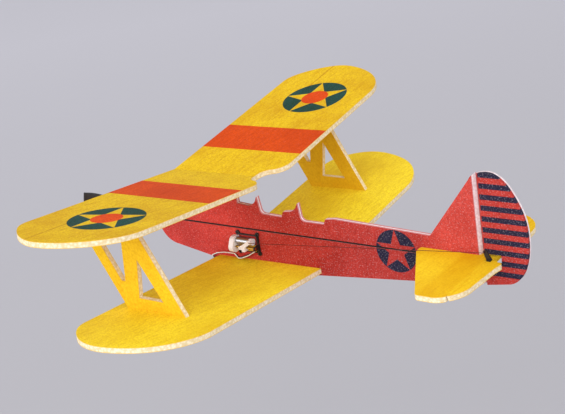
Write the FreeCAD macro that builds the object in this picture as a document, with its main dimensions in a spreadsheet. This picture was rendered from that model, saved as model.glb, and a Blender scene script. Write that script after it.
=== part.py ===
import FreeCAD, Part
import math
import os

# Micro indoor biplane in flat foam sheet. Millimetres.
# Origin: middle of the flat belly edge. +X to the nose, +Y to the left wing, +Z up.

V = FreeCAD.Vector
doc = FreeCAD.newDocument("rc_biplane")

DIMS = {
    "foam": 3.0,               # sheet thickness of every flying surface
    "wing_tilt": 1.0,          # leading edges sit this many degrees low
    "chord": 72.0,
    "upper_half_span": 142.5,  # along the panel
    "upper_dihedral": 7.8,
    "upper_root_x": -10.0,     # root trailing edge, top face
    "upper_root_z": 56.0,
    "lower_half_span": 137.2,
    "lower_dihedral": 6.2,
    "lower_root_x": -34.4,
    "lower_root_z": 4.4,
    "spar_x": 48.0,            # from the trailing edge
    "spar_diameter": 1.0,
    "strut_y": 87.9,
    "rod_z": 23.0,
    "tail_top": 26.5,          # top face of the stabiliser
    "elevator_axis_x": -140.5,
    "rudder_axis_x": -136.0,
    "servo_x": 13.75,          # middle of the servo's four lugs
    "servo_z": 14.25,
    "lug_spacing_x": 14.0,
    "lug_spacing_z": 12.0,
    "servo_module": 0.25,
    "drive_module": 0.3,
    "thrust_z": 25.0,
    "prop_x": 94.0,
    "prop_radius": 52.0,
    "prop_angle": 29.5,        # how far the left blade stands above level at rest
    "shaft_diameter": 1.5,
    "wire_diameter": 0.3,
    "strand_diameter": 0.6,
}

sheet = doc.addObject("Spreadsheet::Sheet", "dims")
for row, (alias, value) in enumerate(DIMS.items(), start=1):
    sheet.set(f"A{row}", alias)
    sheet.set(f"B{row}", str(value))
    sheet.setAlias(f"B{row}", alias)
doc.recompute()

FOAM = DIMS["foam"]
HALF = FOAM / 2
CHORD = DIMS["chord"]
X_AXIS, Y_AXIS, Z_AXIS = V(1, 0, 0), V(0, 1, 0), V(0, 0, 1)
nodes = {}


# ---------------------------------------------------------------- helpers

def set_size(item, name, value):
    """A string is an expression on the sheet, a number is set as it is."""
    if isinstance(value, str):
        item.setExpression(name, value)
    else:
        setattr(item, name, value)


def keep(item, label):
    """Mark an object as a finished node."""
    item.Label = label
    nodes[label] = item
    return item


def place(position, axis=X_AXIS, angle=0.0):
    return FreeCAD.Placement(V(*position), FreeCAD.Rotation(axis, angle))


def edges_of(path):
    """Edges of a closed outline. A step is a corner (x, y), an arc ("arc", middle, end)
    or a smooth curve ("curve", points)."""
    edges = []
    start = here = path[0]
    for step in list(path[1:]) + [start]:
        if step[0] == "arc":
            end = step[2]
            middle = V(*step[1], 0)
            edges.append(Part.Arc(V(*here, 0), middle, V(*end, 0)))
        elif step[0] == "curve":
            end = step[1][-1]
            curve = Part.BSplineCurve()
            curve.interpolate(Points=[V(*point, 0) for point in (here, *step[1])])
            edges.append(curve)
        else:
            end = step
            if end == here:
                continue
            edges.append(Part.LineSegment(V(*here, 0), V(*end, 0)))
        here = end
    return edges


def plate(name, side, paths, thickness, middle=0.0, circles=()):
    """A sheet padded both ways from its middle plane. side is XY, XZ or YZ; middle is where
    that plane stands on the third axis. The first path is the rim, the others are openings."""
    body = doc.addObject("PartDesign::Body", name)
    sketch = body.newObject("Sketcher::SketchObject", name + "_outline")
    plane = [item for item in body.Origin.OriginFeatures if item.Role == side + "_Plane"][0]
    sketch.AttachmentSupport = [(plane, "")]
    sketch.MapMode = "FlatFace"
    away = -middle if side == "XZ" else middle
    sketch.AttachmentOffset = FreeCAD.Placement(V(0, 0, away), FreeCAD.Rotation())
    for path in paths:
        sketch.addGeometry(edges_of(path), False)
    for x, y, radius in circles:
        sketch.addGeometry(Part.Circle(V(x, y, 0), Z_AXIS, radius), False)
    pad = body.newObject("PartDesign::Pad", name + "_pad")
    pad.Profile = sketch
    pad.SideType = "Symmetric"
    set_size(pad, "Length", thickness)
    sketch.Visibility = False
    return body


def box(name, low, high, placement=None):
    item = doc.addObject("Part::Box", name)
    item.Length, item.Width, item.Height = [b - a for a, b in zip(low, high)]
    local = FreeCAD.Placement(V(*low), FreeCAD.Rotation())
    item.Placement = placement.multiply(local) if placement else local
    return item


def cylinder(name, start, axis, radius, length, placement=None):
    item = doc.addObject("Part::Cylinder", name)
    set_size(item, "Radius", radius)
    set_size(item, "Height", length)
    local = FreeCAD.Placement(V(*start), FreeCAD.Rotation(Z_AXIS, axis))
    item.Placement = placement.multiply(local) if placement else local
    return item


def cut(name, base, *tools):
    for count, tool in enumerate(tools):
        item = doc.addObject("Part::Cut", f"{name}_cut{count}")
        item.Base, item.Tool = base, tool
        base = item
    return base


def fuse(name, *shapes):
    item = doc.addObject("Part::MultiFuse", name + "_joined")
    item.Shapes = list(shapes)
    item.Refine = True
    return item


def group(name, *shapes):
    """Separate solids that share one node."""
    item = doc.addObject("Part::Compound", name + "_group")
    item.Links = list(shapes)
    return item


def tube(name, points, diameter, bend):
    """Round wire along straight runs with an arc at each corner."""
    corners = [V(*point) for point in points]
    edges = []
    here = corners[0]
    for before, corner, after in zip(corners, corners[1:], corners[2:]):
        coming = (corner - before).normalize()
        going = (after - corner).normalize()
        half_turn = coming.getAngle(going) / 2
        shorter = min((corner - before).Length, (after - corner).Length)
        trim = min(bend * math.tan(half_turn), 0.45 * shorter)
        radius = trim / math.tan(half_turn)
        first = corner - coming * trim
        last = corner + going * trim
        inward = (going - coming).normalize()
        middle = corner + inward * (radius / math.cos(half_turn) - radius)
        edges.append(Part.LineSegment(here, first).toShape())
        edges.append(Part.Arc(first, middle, last).toShape())
        here = last
    edges.append(Part.LineSegment(here, corners[-1]).toShape())
    route = doc.addObject("Part::Feature", name + "_route")
    route.Shape = Part.Wire(edges)
    ring = doc.addObject("Part::Circle", name + "_section")
    set_size(ring, "Radius", diameter + " / 2")
    ring.Placement = FreeCAD.Placement(corners[0], FreeCAD.Rotation(Z_AXIS, corners[1] - corners[0]))
    sweep = doc.addObject("Part::Sweep", name + "_sweep")
    sweep.Sections = [ring]
    sweep.Spine = (route, [f"Edge{count + 1}" for count in range(len(edges))])
    sweep.Solid = True
    sweep.Transition = "Round corner"
    return sweep


def gear_path(module, teeth, centre, phase):
    """Straight-flanked teeth with backlash, for a gear of this module."""
    pitch_radius = module * teeth / 2
    root_radius = pitch_radius - 1.25 * module
    tip_radius = pitch_radius + 0.85 * module
    step = 2 * math.pi / teeth
    corners = ((root_radius, -0.30), (tip_radius, -0.10), (tip_radius, 0.10), (root_radius, 0.30))
    path = []
    for tooth in range(teeth):
        for radius, share in corners:
            angle = math.radians(phase) + step * (tooth + share)
            path.append((centre[0] + radius * math.cos(angle), centre[1] + radius * math.sin(angle)))
    return path


def mirrored(path):
    """The right-hand copy of a plan outline, y turned over."""
    flipped = []
    for step in path:
        if step[0] == "arc":
            flipped.append(("arc", (step[1][0], -step[1][1]), (step[2][0], -step[2][1])))
        elif step[0] == "curve":
            flipped.append(("curve", [(x, -y) for x, y in step[1]]))
        else:
            flipped.append((step[0], -step[1]))
    return flipped


# ---------------------------------------------------------------- wings

def panel(label, path, root, dihedral, side, inner, grooves=()):
    """One wing half: a flat sheet, tilted to its dihedral and trimmed upright at the root."""
    tilt = FreeCAD.Rotation(Y_AXIS, DIMS["wing_tilt"])
    lean = FreeCAD.Rotation(X_AXIS, side * dihedral)
    wing = FreeCAD.Placement(V(*root), lean.multiply(tilt))
    body = plate(label + "_sheet", "XY", [path if side > 0 else mirrored(path)], "dims.foam", -HALF)
    body.Placement = wing
    trim_low, trim_high = sorted((side * inner, side * (inner - 10)))
    trim = box(label + "_trim", (-60, trim_low, -20), (90, trim_high, 90))
    slots = []
    for count, (x, near, far) in enumerate(grooves):
        half_width = DIMS["spar_diameter"] / 2 + 0.03
        low_y, high_y = sorted((side * near, side * far))
        low = (x - half_width, low_y, -FOAM)
        high = (x + half_width, high_y, -FOAM + 2 * half_width)
        slots.append(box(f"{label}_groove{count}", low, high, wing))
    return keep(cut(label, body, trim, *slots), label), wing


def upper_outline():
    span = DIMS["upper_half_span"]
    scoop_depth, scoop_half = 13.0, 16.0
    tip = [(70.9, span - 20), (65, span - 12), (55, span - 4.4), (42, span), (28, span - 2.6),
           (17, span - 8.2), (7.5, span - 16.4), (1.6, span - 26.5), (0, span - 36)]
    return [
        (scoop_depth, -2), (CHORD, -2), (CHORD, span - 26),
        ("curve", tip),
        (0, scoop_half + 2),
        ("arc", (1.6, scoop_half - 3), (6, scoop_half - 7)),
        ("arc", (11.4, 5.2), (scoop_depth, 0)),
    ]


def lower_outline():
    span = DIMS["lower_half_span"]
    tip = [(70.8, span - 16.5), (65.4, span - 9), (57, span - 3), (45, span), (33, span - 1.8),
           (22, span - 6.2), (12.4, span - 13), (4.5, span - 23.4), (0, span - 37)]
    return [(0, -2), (CHORD, -2), (CHORD, span - 24), ("curve", tip)]


SPAR_NEAR, SPAR_FAR = 4.0, 130.0
upper_root = (DIMS["upper_root_x"], 0, DIMS["upper_root_z"])
lower_root = (DIMS["lower_root_x"], 0, DIMS["lower_root_z"])
panels = {}
for side, hand in ((1, "left"), (-1, "right")):
    upper, wing = panel("upper_wing_" + hand, upper_outline(), upper_root, DIMS["upper_dihedral"],
                        side, 0.0, [(DIMS["spar_x"], SPAR_NEAR, SPAR_FAR)])
    lower, _ = panel("lower_wing_" + hand, lower_outline(), lower_root, DIMS["lower_dihedral"], side, HALF)
    panels[hand] = (upper, lower)
    spar_z = -FOAM + DIMS["spar_diameter"] / 2 + 0.03
    spar = cylinder(f"upper_spar_{hand}_rod", (DIMS["spar_x"], side * SPAR_NEAR, spar_z), V(0, side, 0),
                    "dims.spar_diameter / 2", SPAR_FAR - SPAR_NEAR, wing)
    keep(spar, "upper_spar_" + hand)


# ---------------------------------------------------------------- struts

def strut(hand, side):
    """N-shaped sheet strut, cut to lie on the lower wing and under the upper one."""
    top, bottom = 66.0, 12.2
    lean = 0.522                       # both legs lean forward this much per unit of height
    foot = 20.2                        # top of the foot bar

    def leg(x_at_foot, z):
        return (x_at_foot + lean * (z - foot), z)

    rear, front = -6.8, 33.8           # outer edges at the height of the foot bar
    inner_front = front - 7.9
    rim = [leg(rear, bottom), leg(front, bottom), leg(front, top), leg(inner_front, top),
           leg(inner_front, 29), (27.8, 29), (23.3, top), leg(rear, top)]
    window = [(3.4, foot), (20.1, foot), (16.4, 43.2)]
    body = plate(f"strut_{hand}_sheet", "XZ", [rim, window], "dims.foam", side * DIMS["strut_y"])
    upper, lower = panels[hand]
    return keep(cut("strut_" + hand, body, upper, lower), "strut_" + hand)


strut("left", 1)
strut("right", -1)


# ---------------------------------------------------------------- fuselage and tail

HINGE_GAP = 0.1                        # each sheet stops this far short of a hinge line
BEVEL = 1.5                            # how far the fin and rudder are bevelled back on the open side
ELEVATOR_BEVEL = 0.85
RUDDER_X = DIMS["rudder_axis_x"]
ELEVATOR_X = DIMS["elevator_axis_x"]
TAIL_TOP = DIMS["tail_top"]
TAIL_LOW = TAIL_TOP - FOAM
STABILISER_NOSE = -101.2


def fuselage_outline():
    rear = RUDDER_X + HINGE_GAP
    return [
        (-32, 0), (32, 0), (42, 1.7), (70, 6.7),
        ("arc", (77.2, 10.6), (80.5, 16.5)),
        (80.5, 33.5), ("arc", (79.2, 36.7), (76, 38)),
        (60, 38), (56, 53.7), (18, 53.7), (18, 38.2),
        (10, 37.6), ("arc", (5.8, 39.6), (3.5, 43.5)),
        (2.4, 36.2), ("arc", (1.6, 34.2), (-0.5, 33.4)),
        (-12.6, 33), (-14, 36.4), (-18.6, 37),
        ("arc", (-22.2, 38.9), (-24.5, 42.5)),
        (-25.2, 35), ("arc", (-26.3, 32.7), (-28.5, 32)),
        (-41, 32), (-42, 35), (-48, 35.8), (-107, 33.6),
        (-132.6, 67.2), ("arc", (-134, 69.2), (rear, 70.6)),
        (rear, TAIL_TOP), (STABILISER_NOSE, TAIL_TOP), (STABILISER_NOSE, TAIL_LOW), (rear, TAIL_LOW),
        (rear, 9.9),
    ]


def rudder_outline():
    front = RUDDER_X - HINGE_GAP
    slot_low, slot_high, slot_end = 22.2, 27.8, -147.0
    trailing = [(-156.6, 16.2), (-160.9, 25), (-162.4, 36), (-160.9, 50), (-156.3, 60.6),
                (-150.2, 68.6), (-145.6, 71.3)]
    return [
        (front, 9.9), (-151, 12.4), ("curve", trailing),
        ("arc", (-141, 71.6), (-137.6, 70.9)), (front, 70.2),
        (front, slot_high), (slot_end, slot_high), (slot_end, slot_low), (front, slot_low),
    ]


def stabiliser_outline():
    rear = ELEVATOR_X + HINGE_GAP
    half = [(STABILISER_NOSE, 1.5), ("arc", (-100.9, 5.4), (-102.4, 9)), (-124, 48.6),
            ("arc", (-125.2, 50.1), (-127.2, 50.6)), (-132.5, 50.6),
            ("arc", (-137.4, 49.8), (rear, 47.6))]
    back = [(rear, -47.6), ("arc", (-137.4, -49.8), (-132.5, -50.6)), (-127.2, -50.6),
            ("arc", (-125.2, -50.1), (-124, -48.6)), (-102.4, -9),
            ("arc", (-100.9, -5.4), (STABILISER_NOSE, -1.5))]
    return half + back


def elevator_outline():
    front = ELEVATOR_X - HINGE_GAP
    return [
        (front, 47.2), ("arc", (-144.8, 42.6), (-147.3, 36)), (-149, 13), (-150, 8), (-149.8, 7.2),
        (-143.8, 4.9), (-143.8, -4.9), (-149.8, -7.2), (-150, -8), (-149, -13), (-147.3, -36),
        ("arc", (-144.8, -42.6), (front, -47.2)),
    ]


def bevel_tool(name, side, corner, run, rise, length, middle):
    """A wedge that takes the corner off an edge: a triangle standing on corner."""
    x, y = corner
    return plate(name, side, [[(x, y), (x + run, y + rise), (x, y + rise)]], length, middle)


body = plate("fuselage_sheet", "XZ", [fuselage_outline()], "dims.foam")
rod_front, rod_rear = 68.0, -98.0
rod_radius = DIMS["spar_diameter"] / 2
rod_y = HALF - rod_radius
groove = box("fuselage_groove", (rod_rear, HALF - 2 * rod_radius - 0.03, DIMS["rod_z"] - rod_radius - 0.03),
             (rod_front, HALF + 1, DIMS["rod_z"] + rod_radius + 0.03))
fin_bevel = bevel_tool("fin_bevel", "XY", (RUDDER_X + HINGE_GAP, -HALF), BEVEL, FOAM, 100, 40)
keep(cut("fuselage", body, groove, fin_bevel, panels["left"][0], panels["right"][0]), "fuselage")
rod = cylinder("fuselage_rod_bar", (rod_rear, rod_y, DIMS["rod_z"]), X_AXIS, "dims.spar_diameter / 2",
               rod_front - rod_rear)
keep(rod, "fuselage_rod")

body = plate("rudder_sheet", "XZ", [rudder_outline()], "dims.foam")
rudder_bevel = bevel_tool("rudder_bevel", "XY", (RUDDER_X - HINGE_GAP, -HALF), -BEVEL, FOAM, 100, 40)
keep(cut("rudder", body, rudder_bevel), "rudder")

keep(plate("stabiliser", "XY", [stabiliser_outline()], "dims.foam", TAIL_TOP - HALF), "stabiliser")

body = plate("elevator_sheet", "XY", [elevator_outline()], "dims.foam", TAIL_TOP - HALF)
elevator_bevel = bevel_tool("elevator_bevel", "XZ", (ELEVATOR_X - HINGE_GAP, TAIL_TOP), -ELEVATOR_BEVEL,
                            -FOAM, 110, 0)
keep(cut("elevator", body, elevator_bevel), "elevator")


# ---------------------------------------------------------------- control horns

ELEVATOR_ARM = 4.5                     # hole above the hinge line
RUDDER_ARM = 6.0                       # hole to the right of the hinge line
HORN_THICK = 0.8
ELEVATOR_HORN_Y = 5.6
RUDDER_HORN_Z = 17.0

eye = (ELEVATOR_X, TAIL_TOP + ELEVATOR_ARM)
foot_end = ELEVATOR_X - 3.2
horn_path = [(ELEVATOR_X - 0.5, TAIL_TOP), (foot_end, TAIL_TOP), (foot_end, TAIL_TOP + 0.8),
             (eye[0] - 1.0, eye[1] + 0.5),
             ("arc", (eye[0] + 0.3, eye[1] + 0.95), (eye[0] + 1.0, eye[1] - 0.2))]
blade = plate("elevator_horn_blade", "XZ", [horn_path], HORN_THICK, ELEVATOR_HORN_Y, [(*eye, 0.55)])
foot = box("elevator_horn_foot", (foot_end, ELEVATOR_HORN_Y - 0.8, TAIL_TOP),
           (ELEVATOR_X - 1, ELEVATOR_HORN_Y + 1.6, TAIL_TOP + 0.6))
keep(fuse("elevator_horn", blade, foot), "elevator_horn")

eye = (RUDDER_X, -HALF - RUDDER_ARM)
horn_path = [(RUDDER_X - 1.6, -HALF), (RUDDER_X - 7, -HALF), (RUDDER_X - 7, -HALF - 0.8),
             (eye[0] - 1.2, eye[1] - 0.6),
             ("arc", (eye[0] + 0.5, eye[1] - 1.3), (eye[0] + 1.3, eye[1] + 0.5))]
blade = plate("rudder_horn_blade", "XY", [horn_path], HORN_THICK, RUDDER_HORN_Z, [(*eye, 0.65)])
foot = box("rudder_horn_foot", (RUDDER_X - 7, -HALF - 0.6, RUDDER_HORN_Z - 1.6),
           (RUDDER_X - 2, -HALF, RUDDER_HORN_Z + 1.6))
keep(fuse("rudder_horn", blade, foot), "rudder_horn")


# ---------------------------------------------------------------- linear servos

MODULE = DIMS["servo_module"]
SCREW_TEETH, PINION_TEETH = 20, 10
SERVO_MOTOR_RADIUS = 2.1
MOTOR_Y, MOTOR_Z = 2.5, 1.9            # the motor lies low in the frame
SCREW_Y = 4.3                          # the screw stands further off the fuselage side
MESH_DISTANCE = MODULE * (SCREW_TEETH + PINION_TEETH) / 2
SCREW_Z = MOTOR_Z - math.sqrt(MESH_DISTANCE ** 2 - (SCREW_Y - MOTOR_Y) ** 2)
MESH_ANGLE = math.degrees(math.atan2(MOTOR_Z - SCREW_Z, MOTOR_Y - SCREW_Y))
SCREW_RADIUS, SLIDER_CLEARANCE = 0.7, 0.05
ARM_HOLE = (-5.0, 3.4)                 # x and z of the hole in the slider's arm
ARM_LOW, ARM_HIGH = 5.9, 6.7
LUG_X, LUG_Z = DIMS["lug_spacing_x"] / 2, DIMS["lug_spacing_z"] / 2
FRONT_WALL, REAR_WALL, WALL = 7.0, -7.0, 0.8
CASE_LENGTH, CASE_SKIN = 2.3, 0.4
CASE_GAP_Z = 4.55                      # the gear case closes the ring's front between these heights


def gear_case_path(scale=1.0):
    """Rounded outline of the gear case, shrunk about its middle for the hollow."""
    middle_y = 4.0

    def at(y, z):
        return (middle_y + (y - middle_y) * scale, z * scale)

    return [at(0.3, 4.0), at(0.3, -2.0), ("arc", at(1.2, -3.85), at(3.4, -4.68)),
            ("arc", at(6.95, -3.45), at(7.6, -0.6)), at(5.6, 3.2),
            ("arc", at(4.3, 4.3), at(2.6, 4.5)), at(1.2, 4.5)]


def servo_frame(name):
    """Open ring with four lugs and a low rear wall that carries the screw's end."""
    rail, rail_z = 0.7, 5.5
    outer = [(-LUG_X - 0.6, -rail_z), (LUG_X + 0.6, -rail_z), (LUG_X + 0.6, rail_z), (-LUG_X - 0.6, rail_z)]
    inner = [(x - math.copysign(rail, x), z - math.copysign(rail, z)) for x, z in outer]
    pieces = [plate(name + "_ring", "XZ", [outer, inner], 1.0, 0.5)]
    lugs = [(sx * LUG_X, sz * LUG_Z) for sx in (-1, 1) for sz in (-1, 1)]
    for count, (x, z) in enumerate(lugs):
        pieces.append(cylinder(f"{name}_lug{count}", (x, 0, z), Y_AXIS, 1.25, 1.0))
    low, post = 1.5, SCREW_Y + 1.2
    rim = [(0, -rail_z), (low, -rail_z), (low, SCREW_Z - 1.4), (post - 0.6, SCREW_Z - 1.2),
           ("arc", (post, SCREW_Z), (post - 0.6, SCREW_Z + 1.2)), (low, SCREW_Z + 1.4),
           (low, rail_z), (0, rail_z)]
    hole = (SCREW_Y, SCREW_Z, SCREW_RADIUS + SLIDER_CLEARANCE)
    pieces.append(plate(name + "_rear_wall", "YZ", [rim], WALL, REAR_WALL, [hole]))
    drills = [cylinder(f"{name}_drill{count}", (x, -1, z), Y_AXIS, 0.55, 4)
              for count, (x, z) in enumerate(lugs)]
    case_gap = box(name + "_case_gap", (FRONT_WALL - WALL / 2, -1, -CASE_GAP_Z),
                   (FRONT_WALL + 2, 2, CASE_GAP_Z))
    return cut(name + "_frame", fuse(name + "_frame", *pieces), *drills, case_gap)


def servo_motor(name):
    length, cap = 9.4, 2.2
    front = FRONT_WALL - WALL / 2
    can = cylinder(name + "_can", (front - length, MOTOR_Y, MOTOR_Z), X_AXIS, SERVO_MOTOR_RADIUS, length)
    cap_disc = cylinder(name + "_cap_disc", (front - length - cap, MOTOR_Y, MOTOR_Z), X_AXIS,
                        SERVO_MOTOR_RADIUS - 0.12, cap)
    return can, cap_disc


def servo_gears(name):
    """The motor's pinion and the lead screw with its wheel, in mesh at rest."""
    wheel_x = FRONT_WALL + WALL / 2 + 0.95
    pinion_path = gear_path(MODULE, PINION_TEETH, (MOTOR_Y, MOTOR_Z), MESH_ANGLE + 180 + 180 / PINION_TEETH)
    pinion_wheel = plate(name + "_pinion_wheel", "YZ", [pinion_path], 1.4, wheel_x)
    shaft_end = FRONT_WALL - WALL / 2 + 0.05
    pinion_shaft = cylinder(name + "_pinion_shaft", (shaft_end, MOTOR_Y, MOTOR_Z), X_AXIS, 0.3, 2.2)
    screw_path = gear_path(MODULE, SCREW_TEETH, (SCREW_Y, SCREW_Z), MESH_ANGLE)
    screw_wheel = plate(name + "_screw_wheel", "YZ", [screw_path], 1.2, wheel_x)
    screw_end = REAR_WALL - WALL / 2
    screw_bar = cylinder(name + "_screw_bar", (screw_end, SCREW_Y, SCREW_Z), X_AXIS, SCREW_RADIUS,
                         wheel_x + 0.7 - screw_end)
    return fuse(name + "_pinion", pinion_wheel, pinion_shaft), fuse(name + "_screw", screw_wheel, screw_bar)


def servo_case(name):
    """Back plate with the two shaft holes, and the cover over the gears."""
    holes = [(SCREW_Y, SCREW_Z, SCREW_RADIUS + SLIDER_CLEARANCE), (MOTOR_Y, MOTOR_Z, 0.8)]
    back = plate(name + "_plate", "YZ", [gear_case_path()], WALL, FRONT_WALL, holes)
    cover_low = FRONT_WALL + WALL / 2
    middle = cover_low + CASE_LENGTH / 2
    shell = plate(name + "_cover_shell", "YZ", [gear_case_path()], CASE_LENGTH, middle)
    hollow = plate(name + "_cover_hollow", "YZ", [gear_case_path(0.89)], CASE_LENGTH, middle - CASE_SKIN)
    return back, cut(name + "_cover", shell, hollow)


def servo_slider(name):
    """Block on the screw, with a slanting arm that takes the pushrod at its rear end."""
    low_x, high_x = -1.2, 1.0
    low_y, low_z, high_z = 3.1, SCREW_Z - 1.7, -0.35
    block = box(name + "_block", (low_x, low_y, low_z), (high_x, ARM_LOW + 0.1, high_z))
    eye_x, eye_z = ARM_HOLE
    arm_path = [(3.2, -1.9), (3.2, -0.5), (-0.6, 1.7), (eye_x + 0.5, eye_z + 1.0),
                ("arc", (eye_x - 1.1, eye_z + 0.4), (eye_x - 0.5, eye_z - 1.0)), (low_x, -0.4),
                (low_x, low_z), (high_x, low_z), (high_x, -1.9)]
    arm = plate(name + "_arm", "XZ", [arm_path], ARM_HIGH - ARM_LOW, (ARM_HIGH + ARM_LOW) / 2)
    bore = cylinder(name + "_bore", (-5, SCREW_Y, SCREW_Z), X_AXIS, SCREW_RADIUS + SLIDER_CLEARANCE, 10)
    hole = cylinder(name + "_arm_hole", (eye_x, 5, eye_z), Y_AXIS, "dims.wire_diameter / 2 + 0.05", 4)
    return cut(name + "_slider", fuse(name + "_slider", block, arm), bore, hole)


def servo_board(name):
    card = box(name + "_card", (-5.6, 1.1, -4.5), (6.2, 1.6, -0.5))
    chip = box(name + "_chip", (1.8, 1.6, -3.6), (4.4, 2.3, -1.6))
    part = box(name + "_part", (-3.6, 1.6, -3.8), (-2.4, 2.2, -2.0))
    return group(name + "_board", card, chip, part)


def servo(name, home):
    """A linear servo in its own frame: x along the screw, y off the fuselage side, z across."""
    motor, motor_cap = servo_motor(name)
    pinion, screw = servo_gears(name)
    back, cover = servo_case(name)
    made = {"frame": servo_frame(name), "motor": motor, "motor_cap": motor_cap, "pinion": pinion,
            "screw": screw, "gear_plate": back, "gear_cover": cover, "slider": servo_slider(name),
            "board": servo_board(name)}
    for piece, item in made.items():
        holder = doc.addObject("Part::Compound", f"{name}_{piece}_placed")
        holder.Links = [item]
        holder.Placement = home
        keep(holder, f"{name}_{piece}")


SERVO_X, SERVO_Z = DIMS["servo_x"], DIMS["servo_z"]
servo("elevator_servo", place((SERVO_X, HALF, SERVO_Z)))
servo("rudder_servo", place((SERVO_X, -HALF, SERVO_Z), X_AXIS, 180))


# ---------------------------------------------------------------- pushrods

WIRE_BEND = 0.8
arm_x = SERVO_X + ARM_HOLE[0]
outer_y = HALF + ARM_HIGH + 0.8
inner_y = HALF + ARM_LOW - 0.5
points = [(arm_x, inner_y, SERVO_Z + ARM_HOLE[1]), (arm_x, outer_y, SERVO_Z + ARM_HOLE[1]),
          (ELEVATOR_X, ELEVATOR_HORN_Y + 1.6, TAIL_TOP + ELEVATOR_ARM),
          (ELEVATOR_X, ELEVATOR_HORN_Y - 1.2, TAIL_TOP + ELEVATOR_ARM)]
keep(tube("elevator_pushrod", points, "dims.wire_diameter", WIRE_BEND), "elevator_pushrod")
points = [(arm_x, -inner_y, SERVO_Z - ARM_HOLE[1]), (arm_x, -outer_y, SERVO_Z - ARM_HOLE[1]),
          (RUDDER_X, -HALF - RUDDER_ARM, RUDDER_HORN_Z - 1.6),
          (RUDDER_X, -HALF - RUDDER_ARM, RUDDER_HORN_Z + 1.2)]
keep(tube("rudder_pushrod", points, "dims.wire_diameter", WIRE_BEND), "rudder_pushrod")


# ---------------------------------------------------------------- power unit

MOUNT_X = 83.0                         # rear face of the gearbox plate
DRIVE = DIMS["drive_module"]
SPUR_TEETH, DRIVE_TEETH = 54, 9
DRIVE_Y = -DRIVE * (SPUR_TEETH + DRIVE_TEETH) / 2
THRUST_Z = DIMS["thrust_z"]
SHAFT_RADIUS = DIMS["shaft_diameter"] / 2
RUN_FIT = 0.04                         # radial clearance of a running shaft
BUSH_RADIUS, BOSS_RADIUS = 1.4, 2.4
MOTOR_RADIUS = 3.5
BOSS_END = MOUNT_X + 6.4
GEAR_X, GEAR_WIDTH = MOUNT_X + 7.4, 1.6
PROP_X = DIMS["prop_x"]


def gearbox():
    plate_thick, ring = 2.0, MOTOR_RADIUS + 1.0
    rim = [(2.6, THRUST_Z - 4.6), (2.6, THRUST_Z + 4.6), (-2.6, THRUST_Z + 4.6), (DRIVE_Y, THRUST_Z + ring),
           ("arc", (DRIVE_Y - ring, THRUST_Z), (DRIVE_Y, THRUST_Z - ring)), (-2.6, THRUST_Z - 4.6)]
    web = plate("gearbox_web", "YZ", [rim], plate_thick, MOUNT_X + plate_thick / 2)
    boss = cylinder("gearbox_boss", (MOUNT_X, 0, THRUST_Z), X_AXIS, BOSS_RADIUS, BOSS_END - MOUNT_X)
    clamp = cylinder("gearbox_clamp", (MOUNT_X - 4, DRIVE_Y, THRUST_Z), X_AXIS, ring, 8)
    cheeks = []
    for side in (1, -1):
        low, high = sorted((side * HALF, side * (HALF + 1.1)))
        cheeks.append(box(f"gearbox_cheek{side + 1}", (70, low, THRUST_Z - 4.6),
                          (MOUNT_X + 1, high, THRUST_Z + 4.6)))
    solid = fuse("gearbox", web, boss, clamp, *cheeks)
    motor_hole = cylinder("gearbox_motor_hole", (MOUNT_X - 5, DRIVE_Y, THRUST_Z), X_AXIS, MOTOR_RADIUS, 12)
    bush_hole = cylinder("gearbox_bush_hole", (MOUNT_X - 1, 0, THRUST_Z), X_AXIS, BUSH_RADIUS, 10)
    keep(cut("gearbox_frame", solid, motor_hole, bush_hole), "gearbox_frame")


def bush(label, low, length):
    tube_wall = cylinder(label + "_outer", (low, 0, THRUST_Z), X_AXIS, BUSH_RADIUS, length)
    bore = cylinder(label + "_bore", (low - 1, 0, THRUST_Z), X_AXIS, SHAFT_RADIUS + RUN_FIT, length + 2)
    keep(cut(label, tube_wall, bore), label)


def drive_motor():
    front = MOUNT_X + 4.2
    length, cap = 15.0, 1.6
    can = cylinder("motor_can_tube", (front - length + cap, DRIVE_Y, THRUST_Z), X_AXIS, MOTOR_RADIUS,
                   length - cap)
    nose = cylinder("motor_can_nose", (front - 0.1, DRIVE_Y, THRUST_Z), X_AXIS, 1.2, 0.7)
    shaft_hole = cylinder("motor_can_hole", (front - 4, DRIVE_Y, THRUST_Z), X_AXIS, 0.5 + RUN_FIT, 6)
    keep(cut("motor_can", fuse("motor_can", can, nose), shaft_hole), "motor_can")
    end = cylinder("motor_endcap_disc", (front - length, DRIVE_Y, THRUST_Z), X_AXIS, MOTOR_RADIUS - 0.15, cap)
    tail = cylinder("motor_endcap_tail", (front - length - 0.7, DRIVE_Y, THRUST_Z), X_AXIS, 1.2, 0.8)
    keep(fuse("motor_endcap", end, tail), "motor_endcap")
    wheel_path = gear_path(DRIVE, DRIVE_TEETH, (DRIVE_Y, THRUST_Z), 180)
    wheel = plate("motor_pinion_wheel", "YZ", [wheel_path], GEAR_WIDTH + 0.6, GEAR_X)
    shaft = cylinder("motor_pinion_shaft", (front - 3.5, DRIVE_Y, THRUST_Z), X_AXIS, 0.5,
                     GEAR_X + 1.2 - front + 3.5)
    keep(fuse("motor_pinion", wheel, shaft), "motor_pinion")


def spur_gear():
    """Wheel with a raised hub and five lightening holes."""
    hole_circle, hole_radius = 5.0, 1.5
    holes = [(0, THRUST_Z, SHAFT_RADIUS)]
    for count in range(5):
        angle = 2 * math.pi * count / 5
        holes.append((hole_circle * math.cos(angle), THRUST_Z + hole_circle * math.sin(angle), hole_radius))
    wheel_path = gear_path(DRIVE, SPUR_TEETH, (0, THRUST_Z), 0)
    wheel = plate("spur_gear_wheel", "YZ", [wheel_path], GEAR_WIDTH, GEAR_X, holes)
    keep(wheel, "spur_gear")


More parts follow.
